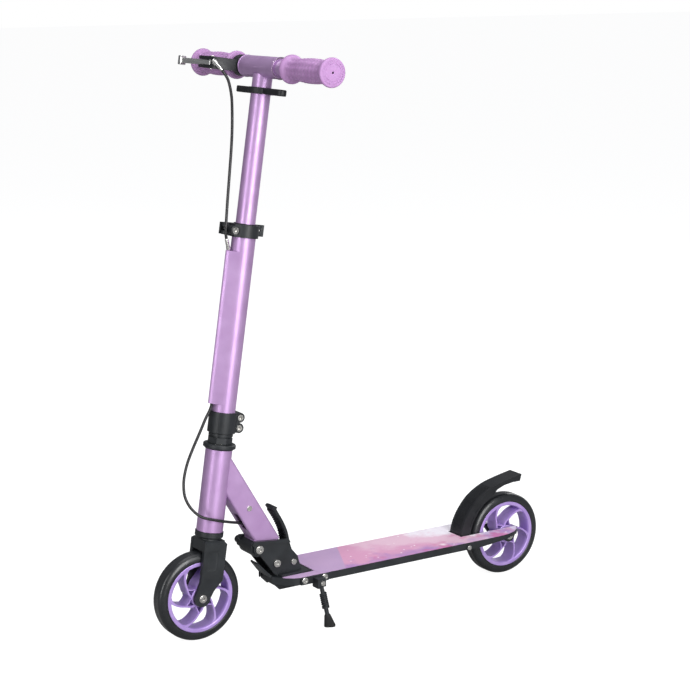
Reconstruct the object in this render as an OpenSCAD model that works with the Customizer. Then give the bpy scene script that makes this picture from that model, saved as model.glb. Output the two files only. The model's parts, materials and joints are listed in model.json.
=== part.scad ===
// Folding two-wheel kick scooter for a child, millimetres.
// +X runs forward, +Y to the rider's left, +Z up; the origin is on the ground under the middle.

/* [Wheels] */
// Outside diameter of both tyres
wheel_d = 145; // [140:1:150]
// Distance between the two axles
wheelbase = 612; // [606:1:620]
// Width of the tyre
tyre_w = 30; // [28:1:32]
// Number of swirled spokes in each wheel
spoke_n = 6; // [5:1:7]
// Thickness of a spoke's wall
spoke_t = 3; // [2:0.5:4]

/* [Steering column] */
// Lean of the steering axis from the vertical, degrees
rake = 8.8; // [8.6:0.1:9]
// Distance of the front axle ahead of the steering axis
trail_off = 10.1; // [9:0.1:11]
// Outside diameter of the lower stem tube
stem_d = 37.9; // [37.5:0.1:38.3]
// Outside diameter of the height tube that slides in it
height_d = 31.2; // [30.8:0.1:31.4]
// Distance along the steering axis from the axle to the handlebar
bar_s = 847; // [840:1:860]
// Distance along the steering axis from the axle to the quick-release collar
qr_s = 590.5; // [588:0.5:593]

/* [Handlebar] */
// Half of the handlebar's whole width
bar_half = 203; // [198:1:208]
// Length of each grip
grip_l = 121; // [116:1:124]
// Radius of the grips' end flanges
grip_r = 22.4; // [21:0.1:23]

/* [Deck] */
// Width of the deck
deck_w = 105.6; // [104:0.2:107]
// Height of the standing surface above the ground
deck_top = 86; // [85.8:0.1:86.2]
// Height of the deck's side rails
rail_h = 13; // [12.6:0.1:13.2]
// Half width of the slot for the rear wheel
slot_half = 19; // [18.8:0.1:19.5]

/* [Brake] */
// Gap between the brake pad and the tyre at rest
pad_gap = 4.3; // [4.3:0.1:4.6]
// Diameter of the brake cable's housing
cable_d = 4.6; // [4.4:0.1:4.6]

/* [Hidden] */

$fn = 48;
eps = 0.01;

// Wheels and axles
wheel_r = wheel_d / 2;
front_x = wheelbase / 2;
rear_x = -wheelbase / 2;
hub_r = 58.4;
rim_inner_r = 52.5;
rim_half = tyre_w / 2 - 0.5;
barrel_r = 16;
bearing_r = 11;
bearing_w = 7;
axle_r = 3.95;
bearing_bore = 4;
tread_half = 7;
shoulder_r = 62;

// Steering axis: its nearest point to the front axle
axis_x = front_x - trail_off * cos(rake);
axis_z = wheel_r - trail_off * sin(rake);
stem_r = stem_d / 2;
stem_in = 17.2;
height_r = height_d / 2;
steerer_r = 14.3;
head_r = 21.6;
head_lo = 107;
head_hi = 241;
crown_hi = 94;
skirt_lo = 76;
pocket_y = 22.4;
clamp_lo = 268;
clamp_hi = 301.5;
clamp_r = 22.5;
clamp_bolts_s = [276.5, 293.5];
clamp_bolt_n = -25.5;
guard_lo = 314;
guard_hi = 558;
guard_nose = 29.5;
cable_n = 23.1;
cable_meet_s = 552;
qr_h = 20;
qr_r = 22.5;
qr_bolt_n = 24.5;
qr_ear_r = 6.5;
qr_pin_y = -17;
tee_r = 17;
tee_half = 53;
bar_r = 12.7;
bar_in = 10.7;
grip_in_y = bar_half - grip_l;
clip_s = 810;

// Brake lever, in the steering frame
brake_y = [-57, -74];
brake_pin = [47, -84];
brake_s = bar_s;
brake_h = 18.5;
brake_lo = brake_s - 11;
lever_h = 8.4;
lever_lo = brake_s - 6.4;

// Fold hinge and the down tube's own frame
fold = [202, 136.5];
down_angle = 59.5;
down_depth = 40;
down_half = 17;
down_wall = 2.2;
down_back = 42.9;
down_foot = -12;
knuckle_r = 13;
knuckle_half = 19.7;
bracket_in = 20;
bracket_t = 4;
bracket_out = bracket_in + bracket_t;
bush_r = 4.5;
lever_pin = [138, 105];
lock_bolt = [170, 108];

// Deck
plate_top = deck_top - 0.8;
plate_t = 3;
plate_bot = plate_top - plate_t;
rail_bot = deck_top - rail_h;
nose_bot = 61;
deck_half = deck_w / 2;
wall = 3;
slot_x = -205;
deck_side = [[178, 22], [171, 32], [162, 42.5], [152, 49.5], [141, deck_half], [-266, deck_half],
  [-288, 50], [-305, 43], [-317, 33], [-323, 24]];
main_sheet_x = [-198, 104];

// Fender
fender_pin_at = [-197.6, 76.5];
fender_half = 17;
fender_r = wheel_r + 8;

// Kickstand
stand_pivot = [110, 62.5, 75];
stand_end = [100, 72, 5];
stand_bolts_x = [135, 97];
stand_bolt_z = 80;

// Routes of the brake cable, points chosen along its way.
// Steering frame: ahead of the axis, left, along the axis.
upper_route = [[45, -58.6, 838.6], [39, -56, 832], [31, -52, 820], [27, -44, 798],
  [27, -36, 775], [28, -27, 744], [30, -19, 713], [32, -12, 675], [33.5, -6, 636],
  [34.2, -2, 610], [34.2, 0, 590], [31.5, 0, 576],
  [25.5, 0, 566], [23.2, 0, 558], [23.1, 0, 552.4]];
lower_route = [[23.1, 0, 313.6], [23.2, 0, 309], [25.5, 0, 301], [31, 0, 288], [38, 0, 267], [47, 0, 241],
  [54, 0, 217], [58, 2, 195], [58.5, 5, 178], [55.5, 9, 162], [47, 16, 147], [31, 23, 135],
  [6, 26.5, 130], [-20, 23.5, 126],
  [-37, 16, 123], [-47, 10, 121]];
// Row frame.
hinge_route = [[231, 9.7, 183], [223, 6, 180], [214, 2, 173], [202, -4, 163], [189, -8, 150],
  [181, -8, 137], [177, -8, 122], [173, -8, 107], [168, -8, 95], [159, -8, 84], [148, -8, 77.8],
  [140, -8, 77]];
deck_route = [[140, -8, 77], [120, -8, 77], [60, -8, 77], [0, -8, 77], [-60, -6, 77],
  [-110, -3, 77], [-145, 0, 76], [-170, 0, 71], [-191, 0, 69.5]];
clip_x = [130, 30, -100];

// Moves its children from the steering frame to the row frame.
module steering() {
  translate([axis_x, 0, axis_z]) rotate([0, -rake, 0]) children();
}

// Moves its children from the down tube's frame (z along the tube, x ahead of it) to the row frame.
module along_down_tube() {
  translate([fold.x, 0, fold.y]) rotate([0, 90 - down_angle, 0]) children();
}

// A cylinder along Y between two distances, at x and z.
module y_rod(r, y0, y1, x, z, fn = 48) {
  translate([x, y1, z]) rotate([90, 0, 0]) cylinder(r = r, h = y1 - y0, $fn = fn);
}

// An outline in the X-Z plane drawn out along Y.
module y_slab(y0, y1) {
  translate([0, y1, 0]) rotate([90, 0, 0]) linear_extrude(y1 - y0) children();
}

// A cylinder from one point to another.
module rod(p, q, r, r2 = -1) {
  v = q - p;
  translate(p) rotate([0, acos(v.z / norm(v)), atan2(v.y, v.x)])
    cylinder(r1 = r, r2 = r2 < 0 ? r : r2, h = norm(v));
}

// A rectangle centred on the origin with round corners.
module round_rect(w, h, r) {
  square([w - 2 * r, h], center = true);
  square([w, h - 2 * r], center = true);
  for (x = [-1, 1], y = [-1, 1]) translate([x * (w / 2 - r), y * (h / 2 - r)]) circle(r);
}

module both_sides() {
  children();
  mirror([0, 1, 0]) children();
}

function reversed(p) = [for (i = [len(p) - 1:-1:0]) p[i]];
function flipped(p) = [for (v = reversed(p)) [v.x, -v.y]];
// A line of points shifted sideways by d, to its left.
function shifted(p, d) = [for (i = [0:len(p) - 1])
  let (t = p[min(i + 1, len(p) - 1)] - p[max(i - 1, 0)]) p[i] + d * [-t.y, t.x] / norm(t)];
// The outline of a band of thickness t along a line of points.
function band(p, t) = concat(shifted(p, t / 2), reversed(shifted(p, -t / 2)));
function polar(p) = [for (v = p) v[0] * [cos(v[1]), sin(v[1])]];
function arc(c, r, a0, a1, n) =
  [for (i = [0:n]) let (a = a0 + (a1 - a0) * i / n) c + r * [cos(a), sin(a)]];

// A round tube swept along a route, eased between the route's points.
function eased(p, i, t) = let (a = p[max(i - 1, 0)], b = p[i], c = p[i + 1],
  d = p[min(i + 2, len(p) - 1)]) 0.5 * ((2 * b) + (c - a) * t + (2 * a - 5 * b + 4 * c - d) * t * t
  + (3 * b - a - 3 * c + d) * t * t * t);
function curve(p, steps) = concat([for (i = [0:len(p) - 2], k = [0:steps - 1])
  eased(p, i, k / steps)], [p[len(p) - 1]]);
function unit(v) = v / norm(v);
module swept(p, r, sides) {
  n = len(p);
  rings = [for (i = [0:n - 1])
    let (t = unit(p[min(i + 1, n - 1)] - p[max(i - 1, 0)]),
         u = unit(cross(t, abs(t.y) > 0.9 ? [1, 0, 0] : [0, 1, 0])), v = cross(t, u))
    [for (k = [0:sides - 1]) p[i] + r * (cos(360 * k / sides) * u + sin(360 * k / sides) * v)]];
  points = [for (ring = rings) each ring];
  walls = [for (i = [0:n - 2], k = [0:sides - 1]) let (a = i * sides + k,
    b = i * sides + (k + 1) % sides) each [[a, b, b + sides], [a, b + sides, a + sides]]];
  ends = [[for (k = [sides - 1:-1:0]) k], [for (k = [0:sides - 1]) (n - 1) * sides + k]];
  polyhedron(points, concat(walls, ends), convexity = 6);
}
module cable(route, steps = 2) {
  color([0.06, 0.06, 0.07]) swept(curve(route, steps), cable_d / 2, 8);
}

paint = [0.71, 0.56, 0.79];
hub_paint = [0.63, 0.48, 0.85];
grip_pink = [0.78, 0.58, 0.82];
black = [0.15, 0.16, 0.18];
steel = [0.78, 0.78, 0.76];
rubber = [0.09, 0.09, 0.1];

// ---- Wheels ----

// A tyre on the Y axis: round shoulders, a narrow flat tread, a groove for the hub's rib.
module tyre() {
  half = tyre_w / 2;
  shoulder = [for (i = [0:5]) let (a = 90 * i / 5)
    [shoulder_r + (wheel_r - shoulder_r) * sin(a), tread_half + (half - tread_half) * cos(a)]];
  color(rubber) rotate([90, 0, 0]) rotate_extrude($fn = 96) polygon(concat(
    [[hub_r, half - 1], [hub_r + 0.8, half]], shoulder, [for (v = reversed(shoulder)) [v.x, -v.y]],
    [[hub_r + 0.8, -half], [hub_r, 1 - half], [hub_r, -6], [hub_r + 3, -4], [hub_r + 3, 4],
      [hub_r, 6]]));
}

// A cast hub on the Y axis: rim, barrel with bearing seats, and swirled spokes.
module hub() {
  spoke = polar([[14, 0], [21, 12], [28, 27], [34, 33], [40, 39], [46, 45], [51, 51], [54.5, 55]]);
  strut = polar([[14, 62], [17.5, 44], [21, 34], [27.2, 26]]);
  color(hub_paint) difference() {
    union() {
      rotate([90, 0, 0]) rotate_extrude($fn = 96) polygon([[rim_inner_r, -rim_half],
        [hub_r - 1, -rim_half], [hub_r, 1 - rim_half], [hub_r, -6], [hub_r + 3, -4],
        [hub_r + 3, 4], [hub_r, 6], [hub_r, rim_half - 1], [hub_r - 1, rim_half],
        [rim_inner_r, rim_half], [rim_inner_r - 1.5, rim_half - 4],
        [rim_inner_r - 1.5, 4 - rim_half]]);
      y_rod(barrel_r, -rim_half, rim_half, 0, 0);
      y_slab(1 - rim_half, rim_half - 1) for (k = [0:spoke_n - 1]) rotate(360 / spoke_n * k) {
        polygon(band(spoke, spoke_t));
        polygon(band(strut, 2));
      }
    }
    y_rod(9, -rim_half - 1, rim_half + 1, 0, 0);
    for (s = [-1, 1]) y_rod(bearing_r, s > 0 ? rim_half - bearing_w : -rim_half - 1,
      s > 0 ? rim_half + 1 : bearing_w - rim_half, 0, 0);
  }
}

// Two ball bearings with the tube that keeps them apart.
module bearings() {
  inner = rim_half - bearing_w;
  color(steel) {
    both_sides() rotate([90, 0, 0]) rotate_extrude() polygon([[bearing_bore, inner],
      [bearing_r, inner], [bearing_r, rim_half], [9.4, rim_half], [9.2, rim_half - 0.6],
      [6.2, rim_half - 0.6], [6, rim_half], [bearing_bore, rim_half]]);
    difference() {
      y_rod(5.6, -inner, inner, 0, 0);
      y_rod(bearing_bore, -inner - 1, inner + 1, 0, 0);
    }
  }
}

module at_front() { translate([front_x, 0, wheel_r]) children(); }
module at_rear() { translate([rear_x, 0, wheel_r]) rotate([0, -10, 0]) children(); }
module front_tyre() { at_front() tyre(); }
module front_hub() { at_front() rotate([0, -10, 0]) hub(); }
module front_bearings() { at_front() bearings(); }
module rear_tyre() { at_rear() tyre(); }
module rear_hub() { at_rear() rotate([0, -10, 0]) hub(); }
module rear_bearings() { at_rear() bearings(); }

// An axle bolt with a socket in its round head, and a nut on its other end.
module axle(x, face) {
  color(steel) translate([x, 0, wheel_r]) {
    difference() {
      union() {
        y_rod(axle_r, -face - 6, face + 1, 0, 0);
        y_rod(6.8, face, face + 2.2, 0, 0);
        y_rod(5.6, face, face + 3.2, 0, 0);
      }
      y_rod(2.9, face + 1, face + 4, 0, 0, 6);
    }
    difference() {
      y_rod(7.2, -face - 5, -face, 0, 0, 6);
      y_rod(axle_r, -face - 7, 1, 0, 0);
    }
  }
}
module spacers(x, face) {
  color(steel) both_sides() difference() {
    y_rod(6, rim_half, face, x, wheel_r);
    y_rod(axle_r + 0.03, rim_half - 1, face + 1, x, wheel_r);
  }
}
fork_in = 17;
fork_low_out = 22;
drop_in = slot_half;
drop_out = 25.4;
module front_axle() { axle(front_x, fork_low_out); }
module rear_axle() { axle(rear_x, drop_out); }
module front_spacers() { spacers(front_x, fork_in); }
module rear_spacers() { spacers(rear_x, drop_in); }

// ---- Fork and column ----

module fork() {
  color(black) steering() difference() {
    union() {
      both_sides() intersection() {
        y_slab(fork_in, 24) union() {
          translate([trail_off, 0]) circle(14);
          polygon([[18.5, crown_hi - 3], [15.5, crown_hi], [-18, crown_hi], [-22, crown_hi - 4],
            [-21.5, 30], [-9, 12], [-3.9, 0], [24.1, 0], [20, 16], [17.5, 26]]);
        }
        translate([-60, 0, 0]) rotate([90, 0, 90]) linear_extrude(120) polygon([[fork_in, -20],
          [fork_low_out, -20], [fork_low_out, 18], [24, 34], [24, crown_hi - 4],
          [20, crown_hi], [fork_in, crown_hi]]);
      }
      translate([-21, -fork_in - eps, skirt_lo])
        cube([39, 2 * fork_in + 2 * eps, crown_hi - skirt_lo]);
      translate([0, 0, crown_hi - eps]) cylinder(r1 = 19, r2 = 17.5, h = 3);
    }
    translate([0, 0, skirt_lo - 1]) cylinder(r = steerer_r, h = 40);
    y_rod(axle_r + 0.03, -30, 30, trail_off, 0);
    both_sides() translate([2, pocket_y, 0]) rotate([-90, 0, 0]) linear_extrude(5) {
      for (s = [-50, -74], n = [-6, 6]) translate([n, s]) circle(4);
      translate([-10, -74]) square([20, 24]);
      translate([-6, -78]) square([12, 32]);
    }
  }
}

module steerer_tube() {
  color(steel) steering() translate([0, 0, skirt_lo]) difference() {
    cylinder(r = steerer_r, h = 325 - skirt_lo);
    translate([0, 0, -1]) cylinder(r = steerer_r - 2.5, h = 250);
  }
}

module headset_cups() {
  color(black) steering() {
    rotate_extrude() polygon([[18.5, 97.6], [22, 97.6], [23, 99], [23, head_lo], [19.6, head_lo],
      [19.6, head_lo + 6], [17, head_lo + 6], [17, 106.2], [18.5, 106.2]]);
    rotate_extrude() polygon([[19.6, head_hi - 6], [19.6, head_hi], [23, head_hi],
      [24.5, 243], [26.3, 243.5], [26.3, 248.5], [25, 250], [18.5, 250], [18.5, 242],
      [17, 242], [17, head_hi - 6]]);
  }
}

module headset_bearings() {
  color(steel) steering() for (s = [98.4, 242.2]) translate([0, 0, s]) difference() {
    cylinder(r = 18.5, h = 7.6);
    translate([0, 0, -1]) cylinder(r = steerer_r + 0.06, h = 10);
  }
}

module headset_locknut() {
  color(black) steering() translate([0, 0, 250.5]) difference() {
    union() {
      cylinder(r = 20.3, h = 10, $fn = 8);
      cylinder(r = 17, h = clamp_lo - 250.5);
      translate([0, 0, 12]) cylinder(r = 19.6, h = 4.5);
    }
    translate([0, 0, -1]) cylinder(r = steerer_r, h = 30);
  }
}

module head_tube() {
  color(paint) steering() difference() {
    translate([0, 0, head_lo]) cylinder(r = head_r, h = head_hi - head_lo);
    translate([0, 0, head_lo - 1]) cylinder(r = 19.6, h = head_hi - head_lo + 2);
  }
}

// A welded box tube from the head tube to the fold hinge, with the hinge's round knuckle.
module down_tube() {
  mid = -down_back + down_depth / 2;
  color(paint) difference() {
    union() {
      along_down_tube() {
        difference() {
          translate([mid, 0, down_foot]) linear_extrude(190)
            round_rect(down_depth, 2 * down_half, 4);
          translate([mid, 0, down_foot + 12]) linear_extrude(190)
            round_rect(down_depth - 2 * down_wall, 2 * (down_half - down_wall), 2.5);
        }
        y_slab(-down_half, down_half) polygon([[-8, -11], [2, -11], [9, -4], [9, 4], [-3, 14],
          [-8, 14]]);
      }
      y_rod(knuckle_r, -knuckle_half, knuckle_half, fold.x, fold.y);
    }
    y_rod(bush_r, -30, 30, fold.x, fold.y);
    steering() translate([0, 0, 60]) cylinder(r = head_r, h = 250);
    steering() translate([0, -40, 60]) cube([150, 80, 300]);
    along_down_tube() translate([-9, -2, 36]) cube([15, 15, 34]);
    along_down_tube() translate([-19, -8, down_foot - 1]) cylinder(r = 4, h = 24);
    along_down_tube() translate([-24, down_half + 1, 67]) rotate([90, 0, 0]) cylinder(r = 3.6, h = 6);
  }
}

module down_tube_button() {
  color(steel) along_down_tube() {
    y_rod(3.6, down_half - down_wall, down_half, -24, 67);
    y_rod(4.7, down_half, down_half + 1.6, -24, 67);
  }
}

module stem_shim() {
  color(black) steering() translate([0, 0, clamp_lo]) difference() {
    cylinder(r = stem_in, h = 54);
    translate([0, 0, -1]) cylinder(r = steerer_r, h = 60);
  }
}

module lower_stem_tube() {
  color(paint) steering() translate([0, 0, clamp_lo]) difference() {
    cylinder(r = stem_r, h = qr_s + qr_h / 2 - clamp_lo, $fn = 64);
    translate([0, 0, -1]) cylinder(r = stem_in, h = 400, $fn = 64);
  }
}

module tube_bush() {
  top = qr_s + qr_h / 2;
  color(black) steering() difference() {
    union() {
      translate([0, 0, top - 45]) cylinder(r = stem_in, h = 45);
      translate([0, 0, top]) cylinder(r = stem_r - 0.4, h = 1.5);
    }
    translate([0, 0, top - 46]) cylinder(r = height_r + 0.06, h = 50);
  }
}

// The collar that clamps the stem to the steerer, with two split ears behind it.
module stem_clamp() {
  h = clamp_hi - clamp_lo;
  color(black) steering() difference() {
    union() {
      translate([0, 0, clamp_lo]) cylinder(r = clamp_r, h = h);
      for (s = clamp_bolts_s) y_rod(8, -12, 12, clamp_bolt_n, s);
      translate([clamp_bolt_n, -12, clamp_lo + 1]) cube([16, 24, h - 2]);
    }
    translate([0, 0, clamp_lo - 1]) cylinder(r = stem_r, h = h + 2, $fn = 64);
    translate([-50, -1.2, clamp_lo - 1]) cube([40, 2.4, h + 2]);
    for (s = clamp_bolts_s) {
      y_rod(3, -20, 20, clamp_bolt_n, s);
      y_rod(5.4, 8, 20, clamp_bolt_n, s);
    }
  }
}

module stem_clamp_bolts() {
  color(steel) steering() for (s = clamp_bolts_s) {
    difference() {
      union() {
        y_rod(3, -14, 9, clamp_bolt_n, s);
        y_rod(5.1, 8, 13.2, clamp_bolt_n, s);
      }
      y_rod(2.6, 10, 14, clamp_bolt_n, s, 6);
    }
    difference() {
      y_rod(5.6, -16, -12, clamp_bolt_n, s, 6);
      y_rod(3, -17, 0, clamp_bolt_n, s);
    }
  }
}

// The moulded cover that carries the cable down the front of the lower stem tube.
module cable_guard() {
  side = [[8, 18.2], [14, 15], [25, 6], [28, 3.4]];
  nose = concat(side, [[guard_nose, 0]], flipped(side));
  color(paint) steering() translate([0, 0, guard_lo]) difference() {
    linear_extrude(guard_hi - guard_lo) polygon(nose);
    translate([0, 0, -1]) cylinder(r = stem_r + 0.02, h = 300, $fn = 64);
    translate([16, -3.2, -1]) cube([guard_nose - 18.5, 6.4, 300]);
    translate([0, -30, 0]) rotate([0, 14, 0]) translate([10, 0, -20]) cube([40, 60, 20]);
  }
}

module steering_cable() {
  color([0.06, 0.06, 0.07]) steering() translate([cable_n, 0, guard_lo])
    cylinder(r = cable_d / 2, h = cable_meet_s - guard_lo, $fn = 16);
}
module upper_cable() { steering() cable(upper_route); }
module lower_cable() { steering() cable(lower_route); }
module hinge_cable() { cable(hinge_route); }
module deck_cable() { cable(deck_route); }

module qr_collar() {
  color(black) steering() difference() {
    union() {
      translate([0, 0, qr_s - qr_h / 2]) cylinder(r = qr_r, h = qr_h);
      y_rod(qr_ear_r + 1, -9.5, 12, qr_bolt_n - 1, qr_s);
      translate([10, -9.5, qr_s - qr_h / 2]) cube([qr_bolt_n - 10, 21.5, qr_h]);
    }
    translate([0, 0, qr_s - 20]) cylinder(r = stem_r, h = 40, $fn = 64);
    translate([15, -1.2, qr_s - 20]) cube([30, 2.4, 40]);
    y_rod(3, -40, 40, qr_bolt_n, qr_s);
  }
}

// The cross bolt of the quick release: head on the left, eye for the lever's pin on the right.
module qr_bolt() {
  color(steel) steering() {
    difference() {
      union() {
        y_rod(3, qr_pin_y - 1, 13, qr_bolt_n, qr_s);
        y_rod(5.4, 12, 15.5, qr_bolt_n, qr_s);
      }
      y_rod(2.2, 13.5, 17, qr_bolt_n, qr_s, 6);
    }
    translate([qr_bolt_n, qr_pin_y, qr_s - 9.5]) cylinder(r = 2.2, h = 19);
  }
}

// The quick-release lever: a forked cam on the pin and an arm along the tube's right side.
module qr_lever() {
  color(black) steering() difference() {
    union() {
      translate([qr_bolt_n, qr_pin_y, qr_s - 9.3]) cylinder(r = 7, h = 18.6);
      translate([0, 0, qr_s - 9.3]) linear_extrude(18.6) polygon([[30, -23.8], [24, -25], [-20, -24.6],
        [-44, -27], [-50, -26], [-49, -30], [-40, -31], [-18, -29], [20, -30], [31, -27]]);
    }
    translate([qr_bolt_n, qr_pin_y, qr_s - 20]) cylinder(r = 2.26, h = 40);
    translate([qr_bolt_n - 9, qr_pin_y - 5.2, qr_s - 3.4]) cube([18, 14, 6.8]);
    y_rod(2, -40, -20, -43, qr_s);
  }
}

// ---- Handlebar ----

module height_tube() {
  color(paint) steering() difference() {
    translate([0, 0, 490]) cylinder(r = height_r, h = bar_s - 490, $fn = 64);
    translate([0, 0, 489]) cylinder(r = height_r - 2, h = 400, $fn = 64);
    y_rod(tee_r, -60, 60, 0, bar_s);
  }
}

module handlebar_tee() {
  color(paint) steering() difference() {
    union() {
      y_rod(tee_r, -tee_half, tee_half, 0, bar_s, 64);
      both_sides() y_rod(tee_r + 0.6, tee_half - 2, tee_half, 0, bar_s, 64);
    }
    y_rod(bar_r, -60, 60, 0, bar_s);
  }
}

module handlebar_bars() {
  color(paint) steering() both_sides() difference() {
    y_rod(bar_r, 6, bar_half - 4, 0, bar_s);
    y_rod(bar_in, 5, bar_half - 3, 0, bar_s);
  }
}

// A grip on the +Y side: flanges at both ends, a waist and a swollen middle.
module grip() {
  a = grip_in_y;
  b = bar_half;
  color(grip_pink) steering() translate([0, 0, bar_s]) rotate([-90, 0, 0]) rotate_extrude($fn = 64)
    polygon([[bar_r, a], [grip_r - 3, a], [grip_r - 0.6, a + 1.6], [grip_r, a + 4.5],
      [grip_r - 1.6, a + 8], [18.4, a + 12], [17.2, a + 20], [17.4, a + 32], [18.6, a + 46],
      [19.2, a + 62], [18.8, a + 80], [17.6, a + 94], [17.4, b - 20], [18.6, b - 13],
      [grip_r - 1.4, b - 8], [grip_r, b - 4], [grip_r - 0.8, b - 1], [grip_r - 3, b], [2, b],
      [2, b - 4], [bar_r, b - 4]]);
}
module left_grip() { grip(); }
module right_grip() { mirror([0, 1, 0]) grip(); }

module grip_clip() {
  color(black) steering() translate([0, 0, clip_s - 5]) difference() {
    union() {
      cylinder(r = 20.5, h = 10);
      linear_extrude(10) {
        for (s = [-1, 1]) translate([0, s * 62]) circle(8);
        square([16, 124], center = true);
      }
    }
    translate([0, 0, -1]) cylinder(r = height_r, h = 12, $fn = 64);
  }
}

// The brake lever's clamp on the right bar, with the forked housing that reaches forward.
module brake_clamp() {
  color(black) steering() difference() {
    union() {
      y_rod(bar_r + 4.3, brake_y[1], brake_y[0], 0, brake_s);
      translate([0, 0, brake_lo]) linear_extrude(brake_h) polygon([[8, brake_y[0]], [40, brake_y[0] - 2],
        [54, -66], [57, -84], [56, -110], [41, -110], [38, -84], [24, -72], [8, brake_y[1]]]);
    }
    y_rod(bar_r, -100, -30, 0, brake_s);
    translate([30, -130, lever_lo - 0.3]) cube([40, 56, lever_h + 0.6]);
    translate([brake_pin.x, brake_pin.y, 0]) cylinder(r = 2.5, h = 900);
  }
}

module brake_lever_pin() {
  color(steel) steering() translate([brake_pin.x, brake_pin.y, brake_lo - 1]) {
    cylinder(r = 2.5, h = brake_h + 2);
    translate([0, 0, brake_h + 1]) cylinder(r = 4, h = 1.5);
  }
}

// The hand lever: a flat blade from its pivot to a squared tip, parallel to the grip.
module brake_lever() {
  color(steel) steering() translate([0, 0, lever_lo]) difference() {
    union() {
      translate([brake_pin.x, brake_pin.y, 0]) cylinder(r = 6.5, h = lever_h);
      linear_extrude(lever_h) polygon([[42, -84], [52, -84], [54, -94], [55, -118], [52.5, -140], [54, -158],
        [58, -173], [50, -175], [47, -158], [46, -140], [48.5, -118], [46.5, -98]]);
    }
    translate([brake_pin.x, brake_pin.y, -1]) cylinder(r = 2.56, h = 20);
  }
}

module cable_adjuster() {
  a = [54, -64, 847.5];
  b = upper_route[0];
  color(steel) steering() difference() {
    union() {
      rod(a + 0.2 * (a - b), b, 3.2);
      rod(a + 0.02 * (b - a), a + 0.45 * (b - a), 4.8);
    }
    translate([0, 0, brake_lo]) linear_extrude(brake_h) polygon([[8, brake_y[0]],
      [40, brake_y[0] - 2], [54, -66], [57, -84], [24, -72], [8, brake_y[1]]]);
  }
}

// ---- Deck ----

deck_outline = concat(deck_side, [[-320, slot_half], [slot_x, slot_half], [slot_x, -slot_half],
  [-320, -slot_half]], flipped(deck_side));

module deck_plate() {
  rail = shifted(deck_side, wall);
  color(black) difference() {
    union() {
      translate([0, 0, plate_bot]) linear_extrude(plate_t) polygon(deck_outline);
      both_sides() translate([0, 0, rail_bot]) linear_extrude(plate_bot - rail_bot)
        polygon(concat(deck_side, reversed(rail)));
      both_sides() translate([-190, 22, rail_bot]) cube([355, wall, plate_bot - rail_bot]);
      both_sides() y_slab(drop_in, drop_out) {
        translate([rear_x, wheel_r]) circle(11.5);
        polygon([[-284, plate_bot], [-322, plate_bot], [-317.5, wheel_r], [-296, 66]]);
      }
      intersection() {
        y_slab(-bracket_in, bracket_in)
          polygon([[166, plate_bot], [178, plate_bot], [187, 92], [200.3, 107.6], [198, 109.6],
            [184, 93.2], [176, plate_top], [166, plate_top]]);
        translate([0, 0, plate_bot]) linear_extrude(60) polygon([[160, bracket_in], [180, bracket_in],
          [202, 9], [202, -9], [180, -bracket_in], [160, -bracket_in]]);
      }
      both_sides() y_slab(19, 22) polygon([[104, plate_bot + eps], [104, nose_bot], [164, nose_bot],
        [174, nose_bot + 10], [174, plate_bot + eps]]);
      y_slab(-19 - eps, 19 + eps) polygon([[171, plate_bot + eps], [171, nose_bot + 7],
        [174, nose_bot + 10], [174, plate_bot + eps]]);
      both_sides() y_rod(6, deck_half - wall, deck_half + 1, fender_pin_at.x, fender_pin_at.y);
    }
    y_slab(drop_out + 0.1, 100) polygon([[-215, rail_bot - 1], [-330, rail_bot - 1], [-330, 79.5],
      [-290, 78.5]]);
    y_slab(-100, -drop_out - 0.1) polygon([[-215, rail_bot - 1], [-330, rail_bot - 1], [-330, 79.5],
      [-290, 78.5]]);
    y_rod(axle_r + 0.03, -60, 60, rear_x, wheel_r);
    y_rod(2.4, -60, 60, fender_pin_at.x, fender_pin_at.y);
    for (x = stand_bolts_x) y_rod(3, deck_half - 6.4, 60, x, stand_bolt_z);
    translate([149, -11.5, 70]) cube([17, 7, 20]);
  }
}

// The printed sheet: the standing surface, and its strips round the hinge and beside the wheel.
module grip_sheet() {
  edge = 1;
  side = shifted(deck_side, edge);
  color([0.80, 0.62, 0.78]) translate([0, 0, plate_top]) linear_extrude(0.8) {
    translate([main_sheet_x[0], -deck_half + edge])
      square([main_sheet_x[1] - main_sheet_x[0], deck_w - 2 * edge]);
    intersection() {
      polygon(concat(side, flipped(side)));
      difference() {
        union() {
          translate([main_sheet_x[1] + 0.4, -60]) square([61, 120]);
          translate([-330, -60]) square([330 + main_sheet_x[0] - 0.4, 120]);
        }
        translate([-340, -slot_half - edge]) square([340 + slot_x + edge, 2 * (slot_half + edge)]);
        translate([105, -34.5]) square([80, 69]);
      }
    }
  }
}

// Folded steel bracket: two cheeks either side of the down tube, with feet on the deck.
module hinge_bracket() {
  cheek = [[168, plate_top], [176, 92], [216, 148], [212, 151.5], [147, 145], [141, 127],
    [130, 113.6], [122, plate_top]];
  color(black) both_sides() difference() {
    union() {
      y_slab(bracket_in, bracket_out) {
        polygon(cheek);
        translate(fold) circle(10);
      }
      y_slab(bracket_out - eps, bracket_out + 3) polygon([[215, 147], [212, 151.5], [147, 145],
        [144.5, 139.5], [200, 145.2]]);
      translate([0, 0, plate_top]) linear_extrude(4) polygon([[169, bracket_in], [166, 33],
        [109, 33], [112, 31], [122, bracket_in]]);
    }
    y_rod(4, 0, 60, fold.x, fold.y);
    y_rod(3, 0, 60, lever_pin.x, lever_pin.y);
    y_rod(3, 0, 60, lock_bolt.x, lock_bolt.y);
  }
}

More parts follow.
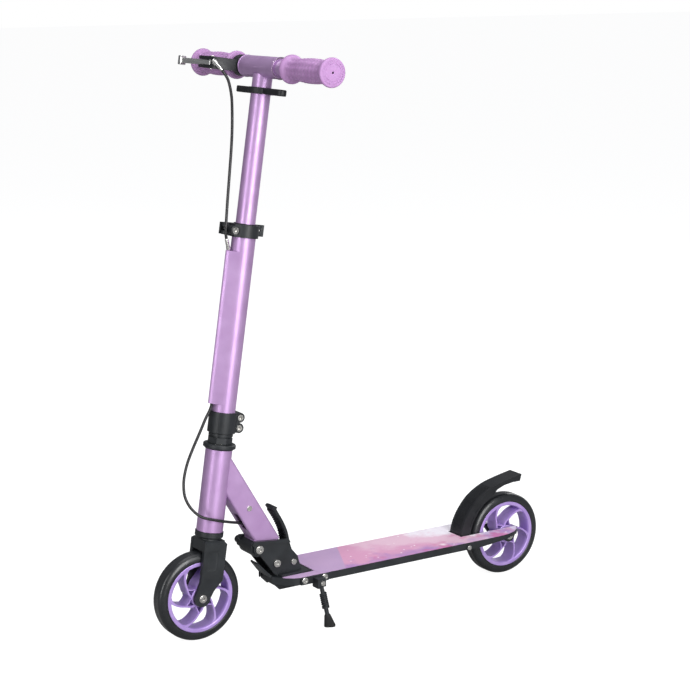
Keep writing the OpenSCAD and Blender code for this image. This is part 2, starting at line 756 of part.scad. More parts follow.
// Bolts and nuts of the bracket: the release lever's pivot rod and the two cheek bolts.
module hinge_bolts() {
  color(steel) {
    y_rod(3, -bracket_out - 2, bracket_out + 2, lever_pin.x, lever_pin.y);
    both_sides() {
      difference() {
        y_rod(4.8, bracket_out, bracket_out + 2.6, lever_pin.x, lever_pin.y);
        y_rod(3, 0, bracket_out + 2, lever_pin.x, lever_pin.y);
      }
      difference() {
        union() {
          y_rod(3, bracket_in - 2.4, bracket_out + 1, lock_bolt.x, lock_bolt.y);
          y_rod(6.2, bracket_out, bracket_out + 3.4, lock_bolt.x, lock_bolt.y);
          y_rod(5.5, bracket_in - 2.4, bracket_in, lock_bolt.x, lock_bolt.y);
        }
        y_rod(2.6, bracket_out + 1.6, bracket_out + 4, lock_bolt.x, lock_bolt.y, 6);
      }
    }
  }
}

module fold_pivot_bolt() {
  color(steel) difference() {
    union() {
      y_rod(4, -44, bracket_out + 1, fold.x, fold.y);
      y_rod(bush_r - 0.05, -bracket_in, bracket_in, fold.x, fold.y);
      y_rod(7, bracket_out, bracket_out + 2.4, fold.x, fold.y);
      y_rod(5.6, bracket_out, bracket_out + 3.6, fold.x, fold.y);
    }
    y_rod(3, bracket_out + 1.4, bracket_out + 4, fold.x, fold.y, 6);
  }
}

// The knob screwed on the pivot bolt's right end: a stem, a low lobe and a rounded tip.
module fold_knob() {
  color(black) difference() {
    union() {
      y_rod(6.2, -48, -bracket_out, fold.x, fold.y);
      y_rod(5, -49.5, -48, fold.x, fold.y);
      y_rod(7.4, -39, -30, fold.x, fold.y - 2.5);
    }
    y_rod(4, -44, 0, fold.x, fold.y);
  }
}

// The curved foot lever behind the down tube, with the hub that turns on the pivot rod.
module release_lever() {
  spine = [[139, 118], [141, 139], [145, 156], [152, 172], [160, 186], [166, 197]];
  color(black) difference() {
    union() {
      y_slab(-12.5, 12.5) {
        polygon(band(curve(spine, 2), 5));
        polygon([[163, 194], [160, 198], [166, 200.5], [170, 197]]);
        polygon([[131.5, 106], [134, 122], [137, 130], [143.5, 130], [143.5, 108]]);
      }
      y_rod(7.5, -19.6, 19.6, lever_pin.x, lever_pin.y);
    }
    y_rod(3.06, -30, 30, lever_pin.x, lever_pin.y);
  }
}

module kickstand_bracket() {
  p = stand_pivot;
  color(black) difference() {
    union() {
      translate([90, deck_half, rail_bot]) cube([52, 2.6, 12]);
      translate([104, deck_half, 67]) cube([15.5, 6.2, 16]);
      translate([104, deck_half + 6, 80.5]) cube([15.5, 11.4, 2.5]);
      translate([116.5, deck_half + 6, 67]) cube([3, 11.4, 16]);
      translate([104, 67.6, 69]) cube([15.5, 2.6, 14]);
    }
    for (x = stand_bolts_x) y_rod(3, 40, 60, x, stand_bolt_z);
    y_rod(2.5, 50, 75, p.x, p.z);
  }
}

module kickstand_bolts() {
  y0 = deck_half + 2.6;
  color(steel) for (x = stand_bolts_x) difference() {
    union() {
      y_rod(3, y0 - 8, y0 + 1, x, stand_bolt_z);
      y_rod(5.4, y0, y0 + 1.2, x, stand_bolt_z);
      y_rod(4.6, y0, y0 + 2.6, x, stand_bolt_z);
    }
    y_rod(2.4, y0 + 1.4, y0 + 4, x, stand_bolt_z, 6);
  }
}

module kickstand_pin() {
  p = stand_pivot;
  color(steel) {
    y_rod(2.5, deck_half + 0.5, 71, p.x, p.z);
    y_rod(4, 70.2, 71.8, p.x, p.z);
  }
}

module kickstand_leg() {
  p = stand_pivot;
  color(black) difference() {
    union() {
      rod(p, stand_end, 3.6);
      y_rod(5, 59.3, 65.7, p.x, p.z);
      rod(p + 0.57 * (stand_end - p), p + 0.62 * (stand_end - p), 6.2);
    }
    y_rod(2.56, 50, 70, p.x, p.z);
  }
}

// The coil on the leg: rings of wire side by side.
module kickstand_spring() {
  p = stand_pivot;
  v = stand_end - p;
  at = p + 0.26 * v;
  color(black) translate(at) rotate([0, acos(v.z / norm(v)), atan2(v.y, v.x)])
    rotate_extrude() difference() {
      union() {
        translate([3.6, 0]) square([2, 21.4]);
        for (k = [0:4]) translate([5.4, 2.2 + 4.2 * k]) circle(1.3, $fn = 16);
      }
      translate([0, -1]) square([3.6, 30]);
    }
}

module kickstand_foot() {
  color(rubber) difference() {
    hull() {
      translate([101.7, 70.3, 17]) sphere(5.6, $fn = 24);
      translate([96, 74, 0]) cylinder(r = 6, h = 3, $fn = 24);
      translate([102, 71, 0]) cylinder(r = 6, h = 3, $fn = 24);
    }
    rod(stand_pivot, stand_end, 3.6);
  }
}

module cable_clips() {
  color(black) for (x = clip_x) difference() {
    translate([x - 6, x > -60 ? -13.5 : -9, 73.6]) cube([12, 11, plate_bot - 73.6]);
    translate([x - 30, x > -60 ? -8 : -3.5, 77]) rotate([0, 90, 0]) cylinder(r = 3.1, h = 60);
  }
}

// ---- Rear brake ----

module fender_pin() {
  p = fender_pin_at;
  color(steel) {
    y_rod(2.4, -deck_half - 1.5, deck_half + 1.5, p.x, p.y);
    both_sides() y_rod(4, deck_half + 1, deck_half + 2.2, p.x, p.y);
  }
}

module fender_spring() {
  p = fender_pin_at;
  color(steel) translate([p.x, -7, p.y]) rotate([-90, 0, 0]) rotate_extrude() difference() {
    union() {
      translate([2.7, 0]) square([1, 14]);
      for (k = [0:6]) translate([3.4, 1 + 2 * k]) circle(0.95, $fn = 16);
    }
    translate([0, -1]) square([2.7, 20]);
  }
}

// A hollow moulded fender: ribs along its back, windowed sides, and two hinge lugs.
module fender() {
  p = fender_pin_at;
  c = [rear_x, wheel_r];
  top = [[-207, 78], [-207.5, 90], [-212.5, 107], [-223.5, 126], [-243, 147], [-272, 163],
    [-304, 171.5], [-338, 178]];
  ridge = curve([for (i = [1:5]) top[i]], 3);
  under = concat([[-334.5, 166], [-318, 166], [-300, 163.5], [-285, 158], [-277, 150]],
    arc(c, fender_r, 62, 6, 14));
  core = concat([[-214, 84], [-214, 92], [-218.5, 106], [-228, 122], [-246, 141.5], [-262, 151]],
    arc(c, fender_r - 2, 58, 8, 12));
  color(black) {
    difference() {
      y_slab(-fender_half, fender_half) polygon(concat(curve(top, 3), under));
      y_slab(-fender_half + 3, fender_half - 3) polygon(core);
      for (i = [0:1]) both_sides() y_slab(fender_half - 1, fender_half + 1) polygon(concat(
        arc(c, fender_r + 3, 18 + 17 * i, 32 + 17 * i, 4),
        arc(c, fender_r + 11, 31 + 17 * i, 20 + 17 * i, 4)));
      for (y = [-10.2:3.4:10.2]) y_slab(y - 0.6, y + 0.6) polygon(band(ridge, 2));
    }
    both_sides() difference() {
      y_slab(9.5, 14) {
        translate(p) circle(5.2);
        polygon([[p.x, p.y - 5.2], [p.x, p.y + 5.2], [-208, 81.7], [-214, 86], [-214, 79],
          [-208, 74]]);
      }
      y_rod(2.46, -20, 20, p.x, p.y);
    }
    difference() {
      y_slab(-14, 14) polygon([[-203.6, 64.5], [-198.6, 64.5], [-204.4, 79], [-207.5, 82],
        [-214, 82], [-214, 79]]);
      y_slab(4, 30) polygon([[-190, 50], [-190, 76], [-204.5, 76], [-204.5, 50]]);
      y_slab(-30, -4) polygon([[-190, 50], [-190, 76], [-204.5, 76], [-204.5, 50]]);
    }
  }
}

module brake_pad() {
  c = [rear_x, wheel_r];
  r = wheel_r + pad_gap;
  color([0.35, 0.34, 0.33]) y_slab(-13, 13)
    polygon(concat(arc(c, fender_r, 26, 48, 8), arc(c, r, 48, 26, 8)));
}

deck_plate();
grip_sheet();
hinge_bracket();
hinge_bolts();
fold_pivot_bolt();
fold_knob();
kickstand_bracket();
kickstand_bolts();
kickstand_pin();
fender_pin();
fender_spring();
rear_axle();
rear_spacers();
deck_cable();
hinge_cable();
cable_clips();
head_tube();
down_tube();
headset_cups();
headset_bearings();
down_tube_button();
lower_cable();
fork();
steerer_tube();
front_axle();
front_spacers();
headset_locknut();
stem_clamp();
stem_clamp_bolts();
stem_shim();
lower_stem_tube();
cable_guard();
qr_collar();
qr_bolt();
tube_bush();
steering_cable();
height_tube();
handlebar_tee();
handlebar_bars();
left_grip();
right_grip();
grip_clip();
brake_clamp();
cable_adjuster();
brake_lever_pin();
upper_cable();
brake_lever();
qr_lever();
front_tyre();
front_hub();
front_bearings();
rear_tyre();
rear_hub();
rear_bearings();
fender();
brake_pad();
release_lever();
kickstand_leg();
kickstand_foot();
kickstand_spring();
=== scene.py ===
"""Looks for a folding kick scooter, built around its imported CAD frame.

Blender works in metres, with +X forward, +Y to the rider's left and +Z up. The tables of points are in
millimetres, and MM turns them into metres.
"""
import json
import math

import bmesh
import bpy
from mathutils import Matrix, Vector

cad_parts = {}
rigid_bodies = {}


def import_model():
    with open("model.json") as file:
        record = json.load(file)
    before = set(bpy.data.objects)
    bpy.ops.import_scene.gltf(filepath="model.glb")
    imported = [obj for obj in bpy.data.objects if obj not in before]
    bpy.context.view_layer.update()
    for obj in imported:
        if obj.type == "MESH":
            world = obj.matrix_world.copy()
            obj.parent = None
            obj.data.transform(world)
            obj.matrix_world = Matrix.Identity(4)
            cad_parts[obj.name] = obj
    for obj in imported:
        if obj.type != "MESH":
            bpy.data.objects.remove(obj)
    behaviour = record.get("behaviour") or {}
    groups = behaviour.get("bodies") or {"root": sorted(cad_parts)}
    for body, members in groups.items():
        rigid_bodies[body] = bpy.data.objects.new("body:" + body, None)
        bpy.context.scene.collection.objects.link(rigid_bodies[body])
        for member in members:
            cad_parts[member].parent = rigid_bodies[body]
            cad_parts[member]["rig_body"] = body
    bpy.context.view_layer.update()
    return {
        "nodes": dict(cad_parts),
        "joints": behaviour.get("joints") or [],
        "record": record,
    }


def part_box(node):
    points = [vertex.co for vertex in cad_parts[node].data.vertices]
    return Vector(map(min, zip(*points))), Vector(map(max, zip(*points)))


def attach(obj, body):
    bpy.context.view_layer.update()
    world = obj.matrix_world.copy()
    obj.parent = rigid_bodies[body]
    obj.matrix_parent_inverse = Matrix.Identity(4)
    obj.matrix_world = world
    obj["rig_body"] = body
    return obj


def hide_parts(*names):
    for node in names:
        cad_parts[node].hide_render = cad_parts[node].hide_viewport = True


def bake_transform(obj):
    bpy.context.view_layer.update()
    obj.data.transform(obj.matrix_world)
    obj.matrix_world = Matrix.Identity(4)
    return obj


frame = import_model()
NODES = frame["nodes"]
MM = 0.001

# The steering column's own frame: x ahead of the axis, y to the left, z along the axis.
steer = next(j for j in frame["joints"] if j["name"] == "steer")
AXIS = Vector(steer["axis"]).normalized()
AHEAD = Vector((AXIS.z, 0, -AXIS.x))
COLUMN = Matrix.Translation(steer["pos_m"]) @ Matrix((AHEAD, (0, 1, 0), AXIS)).transposed().to_4x4()
BAR_S = 0.847


def on_column(x, y, z):
    """A point given in millimetres in the steering frame, in the row frame."""
    return COLUMN @ Vector((x * MM, y * MM, z * MM))


# ---------------------------------------------------------------- materials

def srgb(r, g, b):
    """Linear colour of an sRGB colour given from 0 to 255."""
    return tuple(((c / 255 + 0.055) / 1.055) ** 2.4 if c > 10 else c / 255 / 12.92 for c in (r, g, b)) + (1,)


class Nodes:
    """Short ways to add and link the shader nodes of one material."""

    def __init__(self, name, **settings):
        self.material = bpy.data.materials.new(name)
        self.material.use_nodes = True
        self.tree = self.material.node_tree
        self.shader = self.tree.nodes["Principled BSDF"]
        self.coords = self.add("ShaderNodeTexCoord").outputs["Object"]
        for key, value in settings.items():
            self.shader.inputs[key.replace("_", " ")].default_value = value

    def add(self, kind, links=None, **values):
        node = self.tree.nodes.new(kind)
        for key, value in values.items():
            if key in node.inputs:
                node.inputs[key].default_value = value
            else:
                setattr(node, key, value)
        for key, output in (links or {}).items():
            self.tree.links.new(output, node.inputs[key])
        return node

    def noise(self, scale, detail=3.0, vector=None, rough=0.5):
        return self.add("ShaderNodeTexNoise", {"Vector": vector or self.coords}, Scale=scale, Detail=detail,
                        Roughness=rough).outputs["Fac"]

    def ramp(self, factor, *stops):
        """A colour ramp; a stop is (position, colour or grey level)."""
        node = self.add("ShaderNodeValToRGB", {"Fac": factor})
        elements = node.color_ramp.elements
        while len(elements) < len(stops):
            elements.new(0.5)
        for element, (position, value) in zip(elements, stops):
            element.position = position
            element.color = value if isinstance(value, tuple) else (value, value, value, 1)
        return node.outputs["Color"]

    def math(self, operation, a, b=0.0, c=0.0):
        node = self.add("ShaderNodeMath", operation=operation)
        for i, value in enumerate((a, b, c)):
            if isinstance(value, (int, float)):
                node.inputs[i].default_value = value
            else:
                self.tree.links.new(value, node.inputs[i])
        return node.outputs[0]

    def mix(self, factor, a, b, blend="MIX"):
        node = self.add("ShaderNodeMix", data_type="RGBA", blend_type=blend)
        for key, value in (("Factor_Float", factor), ("A_Color", a), ("B_Color", b)):
            socket = next(s for s in node.inputs if s.identifier == key)
            if isinstance(value, (int, float, tuple)):
                socket.default_value = value
            else:
                self.tree.links.new(value, socket)
        return next(s for s in node.outputs if s.identifier == "Result_Color")

    def bump(self, height, strength, distance=0.0004, normal=None):
        links = {"Height": height}
        if normal is not None:
            links["Normal"] = normal
        return self.add("ShaderNodeBump", links, Strength=strength, Distance=distance).outputs["Normal"]

    def set(self, **links):
        for key, output in links.items():
            self.tree.links.new(output, self.shader.inputs[key.replace("_", " ")])
        return self.material


def paint():
    """Satin anodised lavender: fine flake, a faint brushed grain and slightly cloudy colour."""
    m = Nodes("lavender_paint", Metallic=0.55, Roughness=0.42, Coat_Weight=0.2, Coat_Roughness=0.35)
    cloud = m.noise(26, 4)
    colour = m.ramp(cloud, (0.3, srgb(184, 147, 196)), (0.7, srgb(197, 162, 209)))
    flake = m.noise(5200, 1)
    rough = m.ramp(m.noise(60, 5), (0.3, 0.38), (0.75, 0.48))
    return m.set(Base_Color=colour, Roughness=rough, Normal=m.bump(flake, 0.10, 0.00012))


def hub_paint():
    """Glossier violet cast metal with a slight orange-peel skin."""
    m = Nodes("violet_hub_paint", Metallic=0.35, Roughness=0.34, Coat_Weight=0.3, Coat_Roughness=0.2)
    colour = m.ramp(m.noise(40, 4), (0.3, srgb(172, 142, 214)), (0.7, srgb(190, 162, 226)))
    rough = m.ramp(m.noise(90, 4), (0.3, 0.30), (0.8, 0.42))
    return m.set(Base_Color=colour, Roughness=rough, Normal=m.bump(m.noise(420, 2), 0.12, 0.0003))


def black_paint():
    """Powder-coated black metal: a fine pebbled skin."""
    m = Nodes("black_powder_coat", Metallic=0.0, Roughness=0.46, Specular_IOR_Level=0.5)
    colour = m.ramp(m.noise(35, 4), (0.3, srgb(22, 25, 28)), (0.75, srgb(33, 37, 41)))
    rough = m.ramp(m.noise(70, 5), (0.3, 0.38), (0.8, 0.56))
    return m.set(Base_Color=colour, Roughness=rough, Normal=m.bump(m.noise(1500, 2), 0.22, 0.0003))


def black_plastic():
    """Moulded black nylon with a spark-eroded grain."""
    m = Nodes("black_nylon", Roughness=0.5, Specular_IOR_Level=0.45)
    colour = m.ramp(m.noise(30, 3), (0.3, srgb(17, 19, 22)), (0.75, srgb(28, 31, 35)))
    grain = m.add("ShaderNodeTexVoronoi", {"Vector": m.coords}, Scale=1400.0).outputs["Distance"]
    rough = m.ramp(m.noise(55, 4), (0.3, 0.42), (0.8, 0.6))
    return m.set(Base_Color=colour, Roughness=rough, Normal=m.bump(grain, 0.2, 0.0002))


def black_rubber():
    m = Nodes("black_rubber", Roughness=0.72, Specular_IOR_Level=0.3)
    colour = m.ramp(m.noise(50, 4), (0.3, srgb(26, 26, 27)), (0.75, srgb(40, 40, 41)))
    return m.set(Base_Color=colour, Normal=m.bump(m.noise(900, 3), 0.3, 0.0003))


def tyre_rubber():
    """Cast black polyurethane: glossy shoulders, a duller scuffed tread."""
    m = Nodes("cast_tyre", Roughness=0.3, Specular_IOR_Level=0.5, Coat_Weight=0.15, Coat_Roughness=0.2)
    colour = m.ramp(m.noise(22, 5), (0.3, srgb(24, 26, 28)), (0.75, srgb(34, 36, 39)))
    rough = m.ramp(m.noise(120, 6), (0.35, 0.26), (0.8, 0.46))
    scuff = m.noise(300, 5)
    return m.set(Base_Color=colour, Roughness=rough, Normal=m.bump(scuff, 0.10, 0.0003))


def steel():
    """Bright zinc-plated steel with fine handling marks."""
    m = Nodes("plated_steel", Metallic=1.0, Roughness=0.2)
    colour = m.ramp(m.noise(60, 3), (0.3, srgb(205, 203, 198)), (0.75, srgb(236, 235, 231)))
    rough = m.ramp(m.noise(240, 5), (0.3, 0.14), (0.8, 0.32))
    return m.set(Base_Color=colour, Roughness=rough, Normal=m.bump(m.noise(1800, 2), 0.08, 0.0001))


def brushed_aluminium():
    """Polished lever alloy with a lengthwise grain."""
    m = Nodes("polished_alloy", Metallic=1.0, Roughness=0.26)
    stretched = m.add("ShaderNodeMapping", {"Vector": m.coords}, Scale=(900, 40, 900)).outputs["Vector"]
    grain = m.noise(1, 4, stretched)
    colour = m.ramp(grain, (0.3, srgb(196, 196, 194)), (0.7, srgb(226, 226, 224)))
    rough = m.ramp(grain, (0.3, 0.22), (0.8, 0.36))
    return m.set(Base_Color=colour, Roughness=rough, Normal=m.bump(grain, 0.12, 0.0001))


def grip_rubber():
    """Soft lavender thermoplastic rubber."""
    m = Nodes("lavender_grip", Roughness=0.5, Specular_IOR_Level=0.4, Subsurface_Weight=0.06,
              Subsurface_Radius=(0.004, 0.002, 0.003))
    colour = m.ramp(m.noise(45, 4), (0.3, srgb(174, 130, 182)), (0.75, srgb(188, 145, 196)))
    rough = m.ramp(m.noise(160, 4), (0.3, 0.44), (0.8, 0.6))
    return m.set(Base_Color=colour, Roughness=rough, Normal=m.bump(m.noise(1300, 2), 0.12, 0.0002))


def cable_housing():
    """Black housing with a woven sleeve showing as fine paler flecks."""
    m = Nodes("cable_housing", Roughness=0.42)
    fleck = m.add("ShaderNodeTexVoronoi", {"Vector": m.coords}, Scale=520.0).outputs["Distance"]
    colour = m.ramp(fleck, (0.10, srgb(120, 118, 122)), (0.22, srgb(20, 20, 22)), (1.0, srgb(26, 26, 28)))
    return m.set(Base_Color=colour, Normal=m.bump(fleck, 0.25, 0.0003))


def deck_print():
    """Printed grip film: plain lavender in front, then pink, white and violet clouds with small sparkles."""
    m = Nodes("deck_print", Roughness=0.5, Specular_IOR_Level=0.4)
    split = m.add("ShaderNodeSeparateXYZ", {"Vector": m.coords})
    x, y = split.outputs["X"], split.outputs["Y"]
    lavender, shade = srgb(190, 160, 198), srgb(180, 150, 192)
    pink, blush, white = srgb(214, 156, 190), srgb(224, 188, 208), srgb(236, 230, 240)
    violet, magenta = srgb(160, 124, 190), srgb(200, 104, 158)
    big, soft = m.noise(11, 5, rough=0.6), m.noise(19, 4, rough=0.6)
    back = m.math("MULTIPLY", x, -4.2)
    toward_right = m.math("MULTIPLY", y, -7.0)
    lift = m.math("ADD", m.math("ADD", back, toward_right), m.math("MULTIPLY_ADD", big, 2.2, -1.2))
    cloud = m.ramp(lift, (0.0, pink), (0.34, blush), (0.72, blush), (1.0, white))
    near = m.math("ADD", m.math("MULTIPLY", y, 15.0), m.math("MULTIPLY_ADD", soft, 3.4, -1.7))
    cloud = m.mix(m.ramp(near, (0.25, 0.0), (0.9, 0.75)), cloud, violet)
    spot = m.math("ADD", m.math("MULTIPLY_ADD", m.noise(27, 3), 5.0, -2.9), m.math("MULTIPLY", y, 12.0))
    cloud = m.mix(m.ramp(spot, (0.25, 0.0), (0.8, 0.75)), cloud, magenta)
    stars = m.add("ShaderNodeTexVoronoi", {"Vector": m.coords}, Scale=62.0).outputs["Distance"]
    glow = m.add("ShaderNodeTexVoronoi", {"Vector": m.coords}, Scale=24.0).outputs["Distance"]
    cloud = m.mix(m.ramp(stars, (0.06, 0.9), (0.13, 0.0)), cloud, (1, 1, 1, 1))
    cloud = m.mix(m.ramp(glow, (0.02, 0.75), (0.2, 0.0)), cloud, (1, 0.97, 1, 1))
    front = m.mix(m.ramp(soft, (0.35, 0.0), (0.7, 1.0)), lavender, shade)
    edge = m.math("MULTIPLY_ADD", y, -0.46, -0.03)
    ahead = m.ramp(m.math("MULTIPLY_ADD", m.math("ADD", x, edge), 700.0, 0.5), (0.0, 0.0), (1.0, 1.0))
    colour = m.mix(ahead, cloud, front)
    grit = m.add("ShaderNodeTexVoronoi", {"Vector": m.coords}, Scale=900.0).outputs["Distance"]
    return m.set(Base_Color=colour, Roughness=m.ramp(big, (0.3, 0.42), (0.8, 0.6)),
                 Normal=m.bump(grit, 0.25, 0.0003))


MATERIALS = {
    "tube_paint": paint(), "hub_paint": hub_paint(), "black_metal": black_paint(), "steel": steel(),
    "black_plastic": black_plastic(), "lever_metal": brushed_aluminium(), "grip_rubber": grip_rubber(),
    "black_rubber": black_rubber(), "tyre": tyre_rubber(), "cable_housing": cable_housing(),
    "deck_print": deck_print(),
}
SLOT_OF = {s["node"]: s["material_slot"] for s in frame["record"]["subparts"]}
BODY_OF = {n: body for body, members in frame["record"]["behaviour"]["bodies"].items() for n in members}


def coat(node):
    """Gives a CAD node that stays its own procedural material."""
    data = NODES[node].data
    data.materials.clear()
    data.materials.append(MATERIALS[SLOT_OF[node]])


for name in NODES:
    coat(name)


# ---------------------------------------------------------------- mesh helpers

def piece(name, mesh, node, replaces=True, place=None, sharp=35):
    """Makes a mesh into a visible piece that rides on, is coated as, and usually stands for, a CAD node."""
    if isinstance(mesh, bmesh.types.BMesh):
        data = bpy.data.meshes.new(name)
        bmesh.ops.recalc_face_normals(mesh, faces=mesh.faces)
        mesh.to_mesh(data)
        mesh.free()
    else:
        data = mesh
    if place is not None:
        data.transform(place)
    data.polygons.foreach_set("use_smooth", [True] * len(data.polygons))
    data.set_sharp_from_angle(angle=math.radians(sharp))
    data.materials.clear()
    data.materials.append(MATERIALS[SLOT_OF[node]])
    made = bpy.data.objects.new(name, data)
    bpy.context.scene.collection.objects.link(made)
    even = made.modifiers.new("flat_faces_stay_flat", "WEIGHTED_NORMAL")
    even.keep_sharp = True
    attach(made, BODY_OF[node])
    if replaces:
        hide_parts(node)
    return made


def recoat(made, slot):
    """Gives a piece another material than the one of the node that it belongs to."""
    made.data.materials[0] = MATERIALS[slot]


def softened(node, width, segments=2, angle=32):
    """A copy of a CAD node with its sharp edges rounded, which stands for the node."""
    mesh = bmesh.new()
    mesh.from_mesh(NODES[node].data)
    bmesh.ops.remove_doubles(mesh, verts=mesh.verts, dist=0.00001)
    bmesh.ops.dissolve_limit(mesh, angle_limit=math.radians(0.6), verts=mesh.verts, edges=mesh.edges)
    limit = math.radians(angle)
    edges = [e for e in mesh.edges if len(e.link_faces) == 2 and e.calc_face_angle(0) > limit]
    bmesh.ops.bevel(mesh, geom=edges, offset=width * MM, segments=segments, profile=0.5, affect="EDGES",
                    clamp_overlap=True)
    return piece(node + "_soft", mesh, node)


def rounded(points, radius, steps=3):
    """A closed outline with its corners rounded; radius is a number or one per corner."""
    out = []
    count = len(points)
    for i, p in enumerate(points):
        p, a, b = Vector(p), Vector(points[i - 1]), Vector(points[(i + 1) % count])
        r = radius[i] if isinstance(radius, (list, tuple)) else radius
        r = min(r, 0.45 * (a - p).length, 0.45 * (b - p).length)
        if r <= 0:
            out.append(p)
            continue
        start, end = p + (a - p).normalized() * r, p + (b - p).normalized() * r
        for k in range(steps + 1):
            t = k / steps
            out.append(start * (1 - t) ** 2 + p * (2 * t * (1 - t)) + end * t * t)
    return out


def lathe(profile, segments=96, shift=None):
    """A closed ring of revolution about Y; profile is (radius, y) in millimetres.

    shift(radius, angle, y) gives what is added to the radius at that place.
    """
    mesh = bmesh.new()
    rings = []
    for k in range(segments):
        angle = 2 * math.pi * k / segments
        ring = []
        for r, y in profile:
            if shift is not None:
                r = r + shift(r, angle, y)
            ring.append(mesh.verts.new((r * math.cos(angle) * MM, y * MM, r * math.sin(angle) * MM)))
        rings.append(ring)
    count = len(profile)
    for k in range(segments):
        here, there = rings[k], rings[(k + 1) % segments]
        for i in range(count):
            j = (i + 1) % count
            mesh.faces.new((here[i], here[j], there[j], there[i]))
    return mesh


def prism(outline, low, high, bevel=0.0, segments=3, mesh=None, place=None):
    """An outline in X-Z, in millimetres, drawn out along Y and rounded at both ends."""
    mesh = mesh or bmesh.new()
    front = [mesh.verts.new((p[0] * MM, low * MM, p[1] * MM)) for p in outline]
    back = [mesh.verts.new((p[0] * MM, high * MM, p[1] * MM)) for p in outline]
    count = len(outline)
    faces = [mesh.faces.new(front), mesh.faces.new(list(reversed(back)))]
    for i in range(count):
        j = (i + 1) % count
        faces.append(mesh.faces.new((front[i], back[i], back[j], front[j])))
    verts = front + back
    if bevel:
        rims = [e for e in mesh.edges if e.link_faces and sum(f in faces[:2] for f in e.link_faces) == 1
                and all(v in verts for v in e.verts)]
        made = bmesh.ops.bevel(mesh, geom=rims, offset=bevel * MM, segments=segments, profile=0.5,
                               affect="EDGES", clamp_overlap=True)
        verts = list({v for f in made["faces"] for v in f.verts} | {v for v in verts if v.is_valid})
    if place is not None:
        bmesh.ops.transform(mesh, matrix=place, verts=verts)
    return mesh


def smooth_line(points, steps):
    """A Catmull-Rom curve through the points."""
    points = [Vector(p) for p in points]
    out = []
    for i in range(len(points) - 1):
        a, b = points[max(i - 1, 0)], points[i]
        c, d = points[i + 1], points[min(i + 2, len(points) - 1)]
        for k in range(steps):
            t = k / steps
            out.append(0.5 * (2 * b + (c - a) * t + (2 * a - 5 * b + 4 * c - d) * t * t
                              + (3 * b - a - 3 * c + d) * t ** 3))
    return out + [points[-1]]


def tube(points, radius, sides=16, radius_at=None):
    """A capped round tube along points in the row frame, with frames carried along without twist."""
    mesh = bmesh.new()
    rings, side = [], None
    for i, p in enumerate(points):
        way = (points[min(i + 1, len(points) - 1)] - points[max(i - 1, 0)]).normalized()
        if side is None:
            side = way.orthogonal().normalized()
        side = (side - way * side.dot(way)).normalized()
        up = way.cross(side)
        r = radius_at(i) if radius_at else radius
        rings.append([mesh.verts.new(p + r * (math.cos(a) * side + math.sin(a) * up))
                      for a in (2 * math.pi * k / sides for k in range(sides))])
    for here, there in zip(rings, rings[1:]):
        for k in range(sides):
            j = (k + 1) % sides
            mesh.faces.new((here[k], here[j], there[j], there[k]))
    mesh.faces.new(list(reversed(rings[0])))
    mesh.faces.new(rings[-1])
    return mesh


def merged(target, source):
    """Adds one bmesh to another and frees it."""
    data = bpy.data.meshes.new("part")
    source.to_mesh(data)
    source.free()
    target.from_mesh(data)
    bpy.data.meshes.remove(data)
    return target


# ---------------------------------------------------------------- wheels

def wheel_size(prefix):
    """The centre of a wheel, and its radius and half width in millimetres, from its CAD tyre."""
    low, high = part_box(prefix + "_tyre")
    return (low + high) / 2, (high.z - low.z) / 2 / MM, (high.y - low.y) / 2 / MM


def tyre_profile(radius, half):
    """The tyre's section: round shoulders, a narrow tread with a fine mould line, a groove for the hub."""
    seat, shoulder, tread = radius - 14.1, radius - 10.5, 7.0
    outer = [(shoulder + (radius - shoulder) * math.sin(a), tread + (half - tread) * math.cos(a))
             for a in (math.pi / 2 * k / 14 for k in range(15))]
    line = [(radius, 1.2), (radius - 0.25, 0.5), (radius - 0.25, -0.5), (radius, -1.2)]
    back = [(r, -y) for r, y in reversed(outer)]
    return ([(seat, half - 1.2), (seat + 0.5, half - 0.3), (seat + 1.4, half)] + outer + line + back
            + [(seat + 1.4, -half), (seat + 0.5, 0.3 - half), (seat, 1.2 - half), (seat, 0)])


# A spoke is two cast bands, each a line of (radius, degrees): a long blade and a short strut.
SPOKES = 6
BLADE = ((14, 0), (18, 6), (22, 14), (28, 27), (34, 33.5), (40, 39.5), (46, 45.5), (51, 51), (54.5, 56))
STRUT = ((14, 62), (17.5, 45), (21, 34), (27.4, 26))
SPOKE_BEVEL = 0.9
RIM_IN, RIM_OUT = 52.3, 58.3
BEARING_R, BARREL_R = 11.0, 16
HUB_TURN = {"front": 10, "rear": 20}
LATHE_FINE = 144


def blade_thickness(t):
    """Thick where it meets the barrel, and flared at the rim."""
    return 2.5 + 2.6 * max(0, 1 - 2 * t) ** 4 + 6 * t ** 6


def strut_thickness(t):
    return 1.9 + 1.2 * (2 * t - 1) ** 4


def band(line, thickness):
    """The outline of a band along a line; thickness is a function of the share of the way along it."""
    left, right = [], []
    for i, p in enumerate(line):
        way = (line[min(i + 1, len(line) - 1)] - line[max(i - 1, 0)]).normalized()
        across = Vector((-way.y, way.x)) * thickness(i / (len(line) - 1)) / 2
        left.append(p + across)
        right.append(p - across)
    return left + right[::-1]


